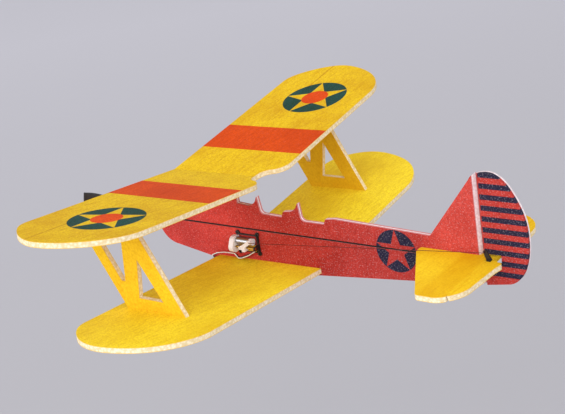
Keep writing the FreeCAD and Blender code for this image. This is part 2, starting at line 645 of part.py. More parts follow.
def collar(label, low, length, radius):
    ring = cylinder(label + "_ring", (low, 0, THRUST_Z), X_AXIS, radius, length)
    bore = cylinder(label + "_bore", (low - 1, 0, THRUST_Z), X_AXIS, SHAFT_RADIUS, length + 2)
    keep(cut(label, ring, bore), label)


def propeller():
    """Two twisted paddle blades lofted through ellipses, on a round hub."""
    stations = ((1.5, 4.2, 2.2, 34), (10, 7.2, 1.5, 29), (24, 10.2, 1.1, 24), (40, 10.0, 0.8, 18),
                (DIMS["prop_radius"], 8.2, 0.6, 14))          # radius, chord, thickness, pitch angle
    spin = FreeCAD.Placement(V(PROP_X, 0, THRUST_Z), FreeCAD.Rotation(X_AXIS, DIMS["prop_angle"]))
    blades = []
    for count in range(2):
        turn = FreeCAD.Placement(V(0, 0, 0), FreeCAD.Rotation(X_AXIS, 180 * count))
        sections = []
        for number, (radius, chord, thick, pitch) in enumerate(stations):
            ring = doc.addObject("Part::Ellipse", f"blade{count}_section{number}")
            ring.MajorRadius, ring.MinorRadius = chord / 2, thick / 2
            lean = math.radians(pitch)
            along = V(math.sin(lean), 0, math.cos(lean))
            frame = FreeCAD.Rotation(along, V(0, 0, 0), Y_AXIS, "ZXY")
            local = FreeCAD.Placement(V(0, radius, 0), frame)
            ring.Placement = spin.multiply(turn).multiply(local)
            sections.append(ring)
        blade = doc.addObject("Part::Loft", f"blade{count}")
        blade.Sections = sections
        blade.Solid = True
        blades.append(blade)
    hub = cylinder("propeller_hub", (PROP_X - 1.9, 0, THRUST_Z), X_AXIS, 2.7, 3.8)
    bore = cylinder("propeller_bore", (PROP_X - 4, 0, THRUST_Z), X_AXIS, SHAFT_RADIUS, 8)
    keep(cut("propeller", fuse("propeller", hub, *blades), bore), "propeller")


gearbox()
bush("rear_bush", MOUNT_X, 1.6)
bush("front_bush", BOSS_END - 1.6, 1.6)
drive_motor()
spur_gear()
collar("shaft_collar", MOUNT_X - 1.5, 1.2, 1.35)
collar("prop_nut", PROP_X + 1.9, 1.5, 1.5)
shaft_low = MOUNT_X - 1.5
shaft = cylinder("prop_shaft_bar", (shaft_low, 0, THRUST_Z), X_AXIS, "dims.shaft_diameter / 2",
                 PROP_X + 4.2 - shaft_low)
keep(shaft, "prop_shaft")
propeller()


# ---------------------------------------------------------------- battery and receiver, right side

def pouch(label, low, high, fillet):
    block = box(label + "_block", low, high)
    item = doc.addObject("Part::Fillet", label + "_rounded")
    item.Base = block
    item.Edges = [(count, fillet, fillet) for count in range(1, 13)]
    keep(item, label)


PATCH = 0.6
cell_low, cell_high = (40.0, -HALF - 2 * PATCH - 5.0, 12.0), (66.0, -HALF - 2 * PATCH, 29.0)
keep(box("hook_patch_strip", (44, -HALF - PATCH, 14), (62, -HALF, 27)), "hook_patch")
keep(box("loop_patch_strip", (44, -HALF - 2 * PATCH, 14), (62, -HALF - PATCH, 27)), "loop_patch")
pouch("battery_cell", cell_low, cell_high, 1.0)
battery_board = box("battery_board_card", (36.8, cell_low[1] + 1.0, 14), (40, cell_high[1] - 1.0, 27))
keep(battery_board, "battery_board")

SOCKET_Z = 24.6
board_low = (21.0, -HALF - 1.6, SOCKET_Z)
board_high = (35.5, -HALF - 0.8, SOCKET_Z + 12)
keep(box("receiver_tape_pad", (22, -HALF - 0.8, SOCKET_Z + 1.4), (34.5, -HALF, SOCKET_Z + 11)),
     "receiver_pad")
keep(box("receiver_board_card", board_low, board_high), "receiver_board")
face = board_low[1]
chip = box("receiver_chip_block", (26.4, face - 0.9, 28), (30.4, face, 32))
crystal = box("receiver_crystal_block", (31.6, face - 0.8, 29), (33.4, face, 33))
keep(group("receiver_chips", chip, crystal), "receiver_chips")
sockets = [box(f"receiver_socket{count}", (low, face - 2.4, SOCKET_Z), (low + 3.6, face, SOCKET_Z + 2.8))
           for count, low in enumerate((21.4, 26.2, 31.0))]
keep(group("receiver_sockets", *sockets), "receiver_sockets")


# ---------------------------------------------------------------- leads

STRAND_STEP = 0.62                     # side by side in a flat lead
LEAD_BEND = 1.6


def lead(label, stations, count=3):
    """A flat lead. Each station is a point and the way its strands lie side by side there."""
    strands = []
    for number in range(count):
        place_in_row = STRAND_STEP * (number - (count - 1) / 2)
        run = [tuple(V(*point) + V(*across) * place_in_row) for point, across in stations]
        strands.append(tube(f"{label}_strand{number}", run, "dims.strand_diameter", LEAD_BEND))
    keep(group(label, *strands), label)


socket_y = face - 1.2
ALONG_X, ALONG_Y, CORNER = (1, 0, 0), (0, 1, 0), (1, 1, 0)
TIPPED_DOWN, TIPPED_UP = (0, 0.85, -0.5), (0, 0.85, 0.5)
lead("elevator_servo_lead",
     [((7.9, 4.5, 11.0), TIPPED_DOWN), ((12.8, 4.6, 8.0), TIPPED_DOWN), ((18.2, 4.5, 5.6), TIPPED_DOWN),
      ((20.8, 4.4, 4.9), ALONG_Y), ((23.4, 4.3, 7.2), TIPPED_UP), ((31, 4.1, 6.9), TIPPED_UP),
      ((37, 3.9, 5.7), TIPPED_UP), ((41, 3.5, 3.8), CORNER), ((41, 2.7, 0.5), ALONG_X),
      ((41, -2.7, 0.5), ALONG_X),
      ((40.4, -2.9, 6), ALONG_X), ((30, -3.4, 12), (0.8, 0, 0.8)), ((28, socket_y, 18), ALONG_X),
      ((28, socket_y, SOCKET_Z - 0.05), ALONG_X)])
lead("rudder_servo_lead",
     [((7.9, -4.5, 17.5), ALONG_Y), ((12.8, -4.6, 20.7), ALONG_Y), ((18, -4.5, 22.3), ALONG_Y),
      ((23.2, socket_y, 22.3), ALONG_Y),
      ((23.2, socket_y, SOCKET_Z - 0.05), ALONG_Y)])
lead("motor_lead",
     [((71.9, DRIVE_Y, 27.2), ALONG_Y), ((69, DRIVE_Y, 27.6), ALONG_Y), ((63, DRIVE_Y, 32), ALONG_Y),
      ((50, -7.5, 33), (0, 0.3, 0.95)), ((41, -5.2, 32), (0, 0, 1)),
      ((35.2, face - 0.35, 31.5), (0, 0, 1))], 2)
lead("battery_lead",
     [((36.75, -5.2, 18), ALONG_Y), ((34, -5.2, 18), ALONG_Y), ((32.8, -4.6, 20.5), ALONG_Y),
      ((32.8, socket_y, SOCKET_Z - 0.05), ALONG_Y)], 2)


# ---------------------------------------------------------------- export

doc.recompute()
os.makedirs("parts", exist_ok=True)
for item in doc.Objects:
    if "Invalid" in item.State or "Error" in item.State:
        raise RuntimeError(f"{item.Label} failed: {item.State}")
for label, item in nodes.items():
    shape = item.Shape
    if shape.isNull() or not shape.isValid() or not shape.Solids:
        raise RuntimeError(f"{label} has no valid solid")
    shape.exportStep(f"parts/{label}.step")
    print(f"{label:24s} solids {len(shape.Solids)} volume {shape.Volume:9.2f}")
print(len(nodes), "nodes")
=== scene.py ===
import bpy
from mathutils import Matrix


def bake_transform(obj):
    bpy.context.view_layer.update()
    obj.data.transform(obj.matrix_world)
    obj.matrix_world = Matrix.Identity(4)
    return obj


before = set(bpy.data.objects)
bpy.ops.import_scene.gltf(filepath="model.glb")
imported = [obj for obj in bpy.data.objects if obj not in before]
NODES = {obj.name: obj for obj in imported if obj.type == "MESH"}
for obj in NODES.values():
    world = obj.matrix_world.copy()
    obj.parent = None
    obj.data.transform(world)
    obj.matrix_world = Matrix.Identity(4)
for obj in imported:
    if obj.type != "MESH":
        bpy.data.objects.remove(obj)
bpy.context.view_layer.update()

import math

import bpy
from mathutils import Matrix, Vector

# Looks for an indoor foam biplane. All lengths are in metres.

MM = 0.001
SHEET = 3.0 * MM                      # foam thickness
PRINT, UNDERSIDE, EDGE, BEVEL = range(4)    # material slots of a foam sheet


# ---------------------------------------------------------------- colours

def srgb(red, green, blue):
    """Linear colour for a display colour from 0 to 255."""
    def linear(value):
        value /= 255
        return value / 12.92 if value <= 0.04045 else ((value + 0.055) / 1.055) ** 2.4
    return (linear(red), linear(green), linear(blue), 1.0)


YELLOW = srgb(226, 189, 26)
# painted light: the lower wings' yellow is lighter than the upper wing's, offsetting the shade the upper
# wing casts on them
LOWER_YELLOW_PAINTED_LIGHT = srgb(255, 230, 52)
YELLOW_DEEP = srgb(228, 176, 12)
STRUT_YELLOW = srgb(234, 193, 38)
TAIL_YELLOW = srgb(240, 202, 36)
ORANGE = srgb(212, 76, 10)
ROUNDEL_RED = srgb(222, 78, 12)
TEAL = srgb(34, 74, 70)
RED = srgb(182, 60, 53)
# painted light: a brighter red for the nose, offsetting the shade under the upper wing
RED_NOSE_PAINTED_LIGHT = srgb(216, 72, 64)
RED_FIN = srgb(204, 78, 69)
RED_DARK = srgb(162, 34, 20)
NAVY = srgb(42, 40, 62)
FOAM_WHITE = srgb(242, 230, 202)
FOAM_GREY = srgb(216, 194, 148)
SKIN_WHITE = srgb(240, 228, 230)
SKIN_GREY = srgb(216, 198, 200)


# ---------------------------------------------------------------- node graphs

class Graph:
    """A material's node tree, built by short calls that return output sockets."""

    def __init__(self, name):
        self.material = bpy.data.materials.new(name)
        self.material.use_nodes = True
        self.tree = self.material.node_tree
        self.shader = self.tree.nodes["Principled BSDF"]
        self.place = self.node("ShaderNodeTexCoord").outputs["Object"]

    def node(self, kind, **settings):
        item = self.tree.nodes.new(kind)
        for key, value in settings.items():
            setattr(item, key, value)
        return item

    def feed(self, socket, value):
        if isinstance(value, bpy.types.NodeSocket):
            self.tree.links.new(value, socket)
        else:
            socket.default_value = value

    def math(self, operation, *values):
        item = self.node("ShaderNodeMath", operation=operation)
        for socket, value in zip(item.inputs, values):
            self.feed(socket, value)
        return item.outputs[0]

    def split(self, vector):
        item = self.node("ShaderNodeSeparateXYZ")
        self.feed(item.inputs[0], vector)
        return item.outputs

    def local(self, origin, rotation=(0, 0, 0), scale=(1, 1, 1)):
        """Object coordinates seen from a frame with this origin and turn."""
        item = self.node("ShaderNodeMapping", vector_type="TEXTURE")
        self.feed(item.inputs["Vector"], self.place)
        item.inputs["Location"].default_value = origin
        item.inputs["Rotation"].default_value = rotation
        item.inputs["Scale"].default_value = scale
        return item.outputs[0]

    def below(self, value, limit, soft):
        """1 where value is under limit, with a soft edge this wide."""
        item = self.node("ShaderNodeMapRange", interpolation_type="SMOOTHSTEP")
        self.feed(item.inputs["Value"], value)
        item.inputs["From Min"].default_value = limit - soft / 2
        item.inputs["From Max"].default_value = limit + soft / 2
        item.inputs["To Min"].default_value = 1.0
        item.inputs["To Max"].default_value = 0.0
        return item.outputs["Result"]

    def stretch(self, value, low, high, to_low=0.0, to_high=1.0):
        item = self.node("ShaderNodeMapRange")
        self.feed(item.inputs["Value"], value)
        for name, number in (("From Min", low), ("From Max", high), ("To Min", to_low), ("To Max", to_high)):
            item.inputs[name].default_value = number
        return item.outputs["Result"]

    def both(self, a, b):
        return self.math("MULTIPLY", a, b)

    def plus(self, a, b):
        return self.math("ADD", a, b)

    def minus(self, a, b):
        return self.math("SUBTRACT", a, b)

    def size(self, value):
        return self.math("ABSOLUTE", value)

    def mix(self, amount, first, second, blend="MIX"):
        item = self.node("ShaderNodeMix", data_type="RGBA", blend_type=blend)
        self.feed(item.inputs[0], amount)
        self.feed(item.inputs[6], first)
        self.feed(item.inputs[7], second)
        return item.outputs[2]

    def noise(self, vector, scale, detail=3.0, roughness=0.55):
        item = self.node("ShaderNodeTexNoise")
        self.feed(item.inputs["Vector"], vector)
        item.inputs["Scale"].default_value = scale
        item.inputs["Detail"].default_value = detail
        item.inputs["Roughness"].default_value = roughness
        return item.outputs["Fac"]

    def cells(self, vector, scale):
        item = self.node("ShaderNodeTexVoronoi", feature="F1")
        self.feed(item.inputs["Vector"], vector)
        item.inputs["Scale"].default_value = scale
        return item.outputs["Distance"]

    def bump(self, height, depth, strength=1.0):
        item = self.node("ShaderNodeBump")
        item.inputs["Distance"].default_value = depth
        item.inputs["Strength"].default_value = strength
        self.feed(item.inputs["Height"], height)
        self.feed(self.shader.inputs["Normal"], item.outputs["Normal"])

    def finish(self, colour, roughness, **constants):
        self.feed(self.shader.inputs["Base Color"], colour)
        self.feed(self.shader.inputs["Roughness"], roughness)
        for name, value in constants.items():
            self.shader.inputs[name.replace("_", " ")].default_value = value
        return self.material


# ---------------------------------------------------------------- foam

def turned(dihedral, tilt, side):
    """Rotation of a wing half's own frame, as a mapping node takes it."""
    lean = Matrix.Rotation(math.radians(side * dihedral), 3, "X")
    return tuple((lean @ Matrix.Rotation(math.radians(tilt), 3, "Y")).to_euler("XYZ"))


def mm(*values):
    return tuple(value * MM for value in values)


WING_TILT = 1.0                       # degrees, as the dihedrals are
UPPER = {"root": mm(-10, 0, 56), "dihedral": 7.8}
LOWER = {"root": mm(-34.4, 0, 4.4), "dihedral": 6.2}
SPAR_X = 48.0 * MM
TAIL_TOP = 26.5 * MM
INK_EDGE = 0.3 * MM                   # how softly one colour of the print ends
RED_WEAR = srgb(190, 160, 160)
FOAM_WEAR = srgb(216, 190, 140)


def grained(g, colour, deep, amount, bare):
    """Ink on pressed foam beads: a fine mottle with short slanted creases, and slow fading.
    bare is how strongly the white foam shows where the ink has missed."""
    fine = g.noise(g.place, 950, 2.0, 0.6)
    slant = g.local((0, 0, 0), (0.4, 0.3, 0.8), (0.3, 1.0, 1.0))
    crease = g.noise(slant, 420, 3.0, 0.65)
    slow = g.noise(g.place, 28, 3.0, 0.6)
    speck = g.stretch(g.plus(g.both(fine, 0.5), g.both(crease, 0.5)), 0.40, 0.64)
    tone = g.mix(g.both(speck, amount), colour, deep)
    tone = g.mix(g.both(g.stretch(slow, 0.42, 0.72), 0.5), tone, deep)
    fibres = g.noise(g.local((0, 0, 0), (0, 0, -0.12), (1, 7, 1)), 640, 3.0, 0.6)
    tone = g.mix(g.both(g.stretch(fibres, 0.48, 0.68), 0.42), tone, deep)
    missed = g.stretch(g.noise(g.place, 1300, 1.0, 0.5), 0.56, 0.74)
    tone = g.mix(g.both(missed, bare), tone, SKIN_WHITE)
    beads = g.cells(g.place, 620)
    height = g.plus(g.both(crease, 0.7), g.both(beads, 0.5))
    g.bump(height, 0.16 * MM, 0.55)
    return tone


def printed_foam(g, colour, wear, amount=0.5, bare=0.0, roughness=0.62):
    """Finish a foam face: its print, worn towards a darker tone."""
    deep = g.mix(1.0, colour, wear, "MULTIPLY")
    return g.finish(grained(g, colour, deep, amount, bare), roughness, Specular_IOR_Level=0.04)


def star(g, across, up, radius):
    """1 inside a five-pointed star whose first point lies along across, and the reach from its middle."""
    angle = g.math("ARCTAN2", up, across)
    fifth = math.radians(72)
    folded = g.math("FLOORED_MODULO", g.plus(angle, fifth / 2), fifth)
    folded = g.size(g.minus(folded, fifth / 2))
    reach = g.math("SQRT", g.plus(g.both(across, across), g.both(up, up)))
    along = g.minus(g.both(reach, g.math("COSINE", folded)), radius)
    off = g.both(reach, g.math("SINE", folded))
    half_point = math.radians(18)
    edge = g.plus(g.both(along, math.sin(half_point)), g.both(off, math.cos(half_point)))
    return g.below(edge, 0.0, 0.25 * MM), reach


def roundel(g, base, across, up, radius, segment, arms, disc=None):
    """A plain star in a disc, painted over base. disc is the colour of a smaller disc over its middle."""
    disc_share = 0.42
    inside_star, reach = star(g, across, up, radius * 1.01)
    inside_disc = g.below(reach, radius, INK_EDGE)
    colour = g.mix(inside_disc, base, segment)
    colour = g.mix(g.both(inside_star, inside_disc), colour, arms)
    if disc:
        colour = g.mix(g.below(reach, radius * disc_share, INK_EDGE), colour, disc)
    return colour


def wing_top(name, half, side, printed):
    """The upper wing's print has a stripe and a roundel; the lower wing's is plain, in a lighter yellow that
    is painted light, lifted to offset the shade under the upper wing.
    """
    g = Graph(name)
    x, y, _ = g.split(g.local(half["root"], turned(half["dihedral"], WING_TILT, side)))
    span = g.size(y)
    # painted light: the lower wings start from the lighter yellow
    base = LOWER_YELLOW_PAINTED_LIGHT
    if printed:
        base = YELLOW
        stripe_near, stripe_far = mm(28.0, 56.2)
        stripe = g.minus(g.below(span, stripe_far, INK_EDGE), g.below(span, stripe_near, INK_EDGE))
        base = g.mix(stripe, base, ORANGE)
        disc_x, disc_y, disc_radius = mm(34.4, 96.9, 20.4)
        base = roundel(g, base, g.minus(x, disc_x), g.minus(span, disc_y),
                       disc_radius, TEAL, YELLOW, ROUNDEL_RED)
        from_spar = g.size(g.minus(x, SPAR_X))
        shade = g.mix(1.0, base, srgb(196, 150, 40), "MULTIPLY")
        near_tip = g.stretch(span, 104 * MM, 114 * MM, 0.12, 0.5)
        base = g.mix(g.both(g.below(from_spar, 0.5 * MM, 0.8 * MM), near_tip), base, shade)
    wear = srgb(206, 170, 100) if printed else srgb(214, 190, 140)
    return printed_foam(g, base, wear, 0.6, 0.03)


def plain_foam(name, colour):
    return printed_foam(Graph(name), colour, FOAM_WEAR)


def cut_edge(name, skin, depth_from_face, light=FOAM_WHITE, dark=FOAM_GREY, thin=0.28 * MM):
    """Cut foam: pale open beads between two printed skins. depth_from_face(g) runs from 0 to
    the sheet's thickness, and the ink has soaked in as far as thin."""
    g = Graph(name)
    depth = depth_from_face(g)
    near = g.below(depth, thin, 0.2 * MM)
    far = g.minus(1.0, g.below(depth, SHEET - thin, 0.2 * MM))
    beads = g.cells(g.place, 700)
    pale = g.mix(g.stretch(beads, 0.2, 0.75), light, dark)
    pale = g.mix(g.both(g.noise(g.place, 160), 0.4), pale, dark)
    ink = g.math("MINIMUM", g.plus(near, far), 1.0)
    colour = g.mix(g.both(ink, 0.75), pale, skin)
    g.bump(beads, 0.2 * MM, 0.6)
    return g.finish(colour, 0.8, Specular_IOR_Level=0.15)


def wing_depth(half, side):
    def depth(g):
        local = g.local(half["root"], turned(half["dihedral"], WING_TILT, side))
        return g.both(g.split(local)[2], -1.0)
    return depth


def side_depth(middle):
    """Depth of an upright sheet whose middle plane stands at y = middle."""
    def depth(g):
        return g.minus(g.plus(g.split(g.place)[1], SHEET / 2), middle)
    return depth


def tail_depth(g):
    return g.minus(TAIL_TOP, g.split(g.place)[2])


def red_base(g, fin_lift=True):
    """Red print, stained darker behind the servo. The fin is given a brighter red, and the nose is painted
    light: a brighter red offsetting the shade under the upper wing.
    """
    x, _, z = g.split(g.place)
    stain_from = g.size(g.plus(x, 26 * MM))
    stain = g.both(g.below(stain_from, 30 * MM, 50 * MM), g.stretch(g.noise(g.place, 60, 3.0), 0.3, 0.6))
    # painted light at the nose: ahead of x = 12 mm the red is brighter
    colour = g.mix(g.below(x, 12 * MM, 40 * MM), RED_NOSE_PAINTED_LIGHT, RED)
    colour = g.mix(g.both(stain, 0.45), colour, RED_DARK)
    if fin_lift:
        colour = g.mix(g.both(g.below(x, -105 * MM, 20 * MM), 0.6), colour, RED_FIN)
    return colour, x, z


def fuselage_side():
    g = Graph("fuselage_print")
    colour, x, z = red_base(g)
    disc_x, disc_z, disc_radius = mm(-85.5, 22.0, 12.3)
    up = g.minus(z, disc_z)
    across = g.minus(x, disc_x)
    colour = roundel(g, colour, up, across, disc_radius, NAVY, RED)
    return printed_foam(g, colour, RED_WEAR, bare=0.16, roughness=0.6)


def rudder_side(name, bare_edge=0.0):
    """Red with navy bars. On a cut edge the ink stops bare_edge short of the right face."""
    g = Graph(name)
    colour, x, z = red_base(g, False)
    pitch, width, lowest, highest = mm(5.9, 2.9, 17.4, 70.5)
    phase = g.math("FLOORED_MODULO", g.minus(z, lowest - pitch / 2), pitch)
    off = g.size(g.minus(phase, pitch / 2))
    bar = g.below(off, width / 2, 0.25 * MM)
    bar = g.both(bar, g.below(z, highest + pitch / 2, 0.1 * MM))
    bar = g.both(bar, g.minus(1.0, g.below(z, lowest - pitch / 2, 0.1 * MM)))
    bar = g.both(bar, g.below(x, -138 * MM, 0.3 * MM))
    colour = g.mix(bar, colour, NAVY)
    if bare_edge:
        depth = g.plus(g.split(g.place)[1], SHEET / 2)
        colour = g.mix(g.below(depth, bare_edge, 0.3 * MM), colour, SKIN_WHITE)
    return printed_foam(g, colour, RED_WEAR, bare=0.16, roughness=0.6)


def tail_side():
    g = Graph("tail_print")
    x = g.split(g.place)[0]
    # painted shade: a darker band across the tail just ahead of the elevator's hinge line
    painted_shade_band = g.minus(g.below(x, -126 * MM, 3 * MM), g.below(x, -140 * MM, 1 * MM))
    colour = g.mix(g.both(painted_shade_band, 0.45), TAIL_YELLOW, YELLOW_DEEP)
    return printed_foam(g, colour, srgb(224, 196, 150))


# ---------------------------------------------------------------- hard materials

def moulded(name, colour, shade, roughness):
    """Moulded plastic: a slow change of tone and a fine satin grain."""
    g = Graph(name)
    tone = g.mix(g.both(g.noise(g.place, 180), 0.6), colour, shade)
    grain = g.noise(g.place, 2700, 2.0)
    g.bump(grain, 0.02 * MM, 0.5)
    return g.finish(tone, g.stretch(grain, 0.3, 0.7, roughness - 0.06, roughness + 0.08))


def drawn_metal(name, colour, shade, roughness, along=(1, 0, 0)):
    """Metal with fine lines along one axis."""
    g = Graph(name)
    squeeze = tuple(12.0 if part else 1.0 for part in along)
    lines = g.noise(g.local((0, 0, 0), (0, 0, 0), squeeze), 4200, 3.0)
    tone = g.mix(g.stretch(lines, 0.3, 0.7), colour, shade)
    g.bump(lines, 0.008 * MM, 0.5)
    return g.finish(tone, g.stretch(lines, 0.3, 0.7, roughness, roughness + 0.15), Metallic=1.0)


def carbon():
    g = Graph("carbon_rod")
    fibres = g.noise(g.local((0, 0, 0), (0, 0, 0), (20, 20, 1)), 3000, 2.0)
    tone = g.mix(g.stretch(fibres, 0.35, 0.65), srgb(6, 6, 7), srgb(20, 20, 22))
    g.bump(fibres, 0.01 * MM, 0.5)
    return g.finish(tone, 0.5, Specular_IOR_Level=0.2)


def circuit(name, mask, raised):
    """Solder mask over copper tracks, with a few bare pads."""
    g = Graph(name)
    x, _, z = g.split(g.place)
    slanted = g.plus(x, g.both(z, 0.6))
    track = g.size(g.math("SINE", g.both(slanted, 5200)))
    tone = g.mix(g.below(track, 0.35, 0.2), mask, raised)
    pads = g.below(g.cells(g.place, 900), 0.22, 0.06)
    tone = g.mix(pads, tone, srgb(206, 196, 150))
    g.bump(track, 0.02 * MM, 0.6)
    return g.finish(tone, g.stretch(pads, 0, 1, 0.42, 0.25))


def pouch_foil():
    g = Graph("battery_foil")
    crumple = g.noise(g.place, 240, 4.0, 0.6)
    tone = g.mix(g.stretch(crumple, 0.3, 0.7), srgb(206, 206, 210), srgb(168, 168, 174))
    g.bump(crumple, 0.12 * MM, 0.5)
    return g.finish(tone, g.stretch(crumple, 0.3, 0.7, 0.24, 0.42), Metallic=0.85)


def amber_tape():
    g = Graph("amber_tape")
    wrinkle = g.noise(g.local((0, 0, 0), (0, 0, 0), (1, 1, 4)), 500, 3.0)
    tone = g.mix(g.stretch(wrinkle, 0.3, 0.7), srgb(196, 132, 40), srgb(150, 92, 22))
    g.bump(wrinkle, 0.05 * MM, 0.5)
    return g.finish(tone, 0.3)


def fuzzy():
    g = Graph("hook_and_loop")
    loops = g.cells(g.place, 1500)
    tone = g.mix(g.stretch(loops, 0.1, 0.7), srgb(34, 34, 36), srgb(70, 70, 72))
    g.bump(loops, 0.25 * MM, 0.9)
    return g.finish(tone, 0.95, Sheen_Weight=0.3)


def insulation(name, colour, shade):
    g = Graph(name)
    tone = g.mix(g.stretch(g.noise(g.place, 700), 0.3, 0.7), colour, shade)
    g.bump(g.noise(g.place, 2600), 0.02 * MM, 0.4)
    return g.finish(tone, 0.45)


# ---------------------------------------------------------------- giving nodes their materials

def dress(node, *materials):
    """Replace a node's materials, all faces on the first."""
    mesh = NODES[node].data
    mesh.materials.clear()
    for material in materials:
        mesh.materials.append(material)
    for face in mesh.polygons:
        face.material_index = 0
    return mesh


def dress_sheet(node, facing, top, under, edge):
    """Top, underside and cut edges of a sheet, told apart by which way each face looks."""
    flat = 0.97
    for face in dress(node, top, under, edge).polygons:
        look = face.normal.dot(facing)
        if look > flat:
            face.material_index = PRINT
        elif look < -flat:
            face.material_index = UNDERSIDE
        else:
            face.material_index = EDGE


def mark_inside(node, slot, low, high):
    """Give one material slot to the faces whose middles lie between two corners."""
    for face in NODES[node].data.polygons:
        if all(low[axis] < face.center[axis] < high[axis] for axis in range(3)):
            face.material_index = slot


def facing_of(half, side):
    lean = Matrix.Rotation(math.radians(side * half["dihedral"]), 3, "X")
    return lean @ Matrix.Rotation(math.radians(WING_TILT), 3, "Y") @ Vector((0, 0, 1))


def dress_strands(node, materials):
    """Each loose strand of a lead gets its own insulation, the innermost strand first."""
    mesh = dress(node, *materials)
    owner = list(range(len(mesh.vertices)))

    def root(index):
        while owner[index] != index:
            owner[index] = owner[owner[index]]
            index = owner[index]
        return index

    places = {}
    for vertex in mesh.vertices:
        same = places.setdefault(tuple(round(part, 7) for part in vertex.co), vertex.index)
        owner[root(vertex.index)] = root(same)
    for edge in mesh.edges:
        owner[root(edge.vertices[0])] = root(edge.vertices[1])
    strands = {}
    for face in mesh.polygons:
        strands.setdefault(root(face.vertices[0]), []).append(face)
    ordered = sorted(strands.values(), key=lambda faces: max(abs(face.center.y) for face in faces))
    for number, faces in enumerate(ordered):
        for face in faces:
            face.material_index = number % len(materials)


SIDE_WAY = Vector((0, 1, 0))
UP_WAY = Vector((0, 0, 1))
under_yellow = plain_foam("underside_print", srgb(240, 198, 40))
for side, hand in ((1, "left"), (-1, "right")):
    for level, half in (("upper", UPPER), ("lower", LOWER)):
        node = f"{level}_wing_{hand}"
        top = wing_top(node + "_print", half, side, level == "upper")
        rim = cut_edge(node + "_edge", YELLOW_DEEP, wing_depth(half, side))
        dress_sheet(node, facing_of(half, side), top, under_yellow, rim)
    strut_print = plain_foam(f"strut_{hand}_print", STRUT_YELLOW)
    strut_rim = cut_edge(f"strut_{hand}_edge", YELLOW_DEEP, side_depth(side * 87.9 * MM))
    dress_sheet("strut_" + hand, SIDE_WAY, strut_print, strut_print, strut_rim)

red_rim = cut_edge("fuselage_edge", RED, side_depth(0.0), SKIN_WHITE, SKIN_GREY, 1.15 * MM)
fin_bevel = cut_edge("fin_bevel", RED, side_depth(0.0), SKIN_WHITE, SKIN_GREY, 0.4 * MM)
fuselage_print = fuselage_side()
dress_sheet("fuselage", SIDE_WAY, fuselage_print, fuselage_print, red_rim)
NODES["fuselage"].data.materials.append(fin_bevel)
mark_inside("fuselage", BEVEL, mm(-137, -3, 0), mm(-134.2, 1.3, 80))
rudder_print = rudder_side("rudder_print")
rudder_rim = rudder_side("rudder_edge", 1.2 * MM)
dress_sheet("rudder", SIDE_WAY, rudder_print, rudder_print, rudder_rim)
mark_inside("rudder", PRINT, mm(-147.5, -3, 21), mm(-138.5, 3, 29))
tail_print = tail_side()
tail_rim = cut_edge("tail_edge", YELLOW_DEEP, tail_depth)
for node in ("stabiliser", "elevator"):
    dress_sheet(node, UP_WAY, tail_print, under_yellow, tail_rim)
mark_inside("elevator", PRINT, mm(-150, -7.3, 20), mm(-143, 7.3, 26.4))

rod_material = carbon()
white_nylon = moulded("white_nylon", srgb(236, 235, 228), srgb(214, 212, 202), 0.4)
black_moulding = moulded("black_moulding", srgb(16, 16, 18), srgb(30, 30, 32), 0.45)
prop_black = moulded("propeller_black", srgb(20, 20, 22), srgb(38, 38, 40), 0.34)
steel_can = drawn_metal("motor_steel", srgb(196, 196, 200), srgb(150, 150, 156), 0.28)
steel_wire = drawn_metal("steel_wire", srgb(188, 188, 192), srgb(140, 140, 146), 0.3)
brass = drawn_metal("turned_brass", srgb(206, 168, 84), srgb(158, 122, 50), 0.26, (0, 0, 1))
blued_wire = drawn_metal("blued_wire", srgb(122, 62, 58), srgb(88, 44, 42), 0.45)
# partly painted shade: the darker second tone stands in for the shading inside the gear cover, spread by
# noise
clear_nylon = moulded("servo_nylon", srgb(240, 234, 236), srgb(190, 178, 178), 0.3)
board = circuit("receiver_mask", srgb(16, 74, 38), srgb(34, 112, 58))
bare_board = circuit("servo_mask", srgb(196, 146, 40), srgb(226, 178, 70))
chip_black = moulded("chip_black", srgb(24, 24, 26), srgb(40, 40, 42), 0.6)
fuzz = fuzzy()
HARD = {
    rod_material: ["upper_spar_left", "upper_spar_right", "fuselage_rod"],
    black_moulding: ["gearbox_frame", "receiver_sockets", "elevator_horn", "rudder_horn"],
    white_nylon: ["spur_gear", "motor_endcap"],
    steel_can: ["motor_can"],
    steel_wire: ["prop_shaft"],
    blued_wire: ["elevator_pushrod", "rudder_pushrod"],
    brass: ["front_bush", "rear_bush", "motor_pinion", "shaft_collar"],
    prop_black: ["propeller", "prop_nut"],
    board: ["receiver_board"],
    chip_black: ["receiver_chips"],
    fuzz: ["hook_patch", "loop_patch", "receiver_pad"],
    pouch_foil(): ["battery_cell"],
    amber_tape(): ["battery_board"],
}
SERVO = {
    black_moulding: ["frame"],
    steel_can: ["motor"],
    bare_board: ["board"],
    brass: ["screw"],
    clear_nylon: ["gear_cover", "gear_plate", "slider", "motor_cap", "pinion"],
}
for material, names in HARD.items():
    for node in names:
        dress(node, material)
for material, names in SERVO.items():
    for piece in names:
        dress("elevator_servo_" + piece, material)
        dress("rudder_servo_" + piece, material)

white_wire = insulation("white_insulation", srgb(232, 230, 224), srgb(206, 202, 194))
red_wire = insulation("red_insulation", srgb(150, 26, 26), srgb(110, 16, 18))
black_wire = insulation("black_insulation", srgb(24, 24, 26), srgb(44, 44, 46))
for node in ("elevator_servo_lead", "rudder_servo_lead"):
    dress_strands(node, (red_wire, black_wire, white_wire))
for node in ("motor_lead", "battery_lead"):
    dress_strands(node, (red_wire, black_wire))


# ---------------------------------------------------------------- hinge skins

FILM = 0.06 * MM                      # the printed skin left uncut along each hinge line


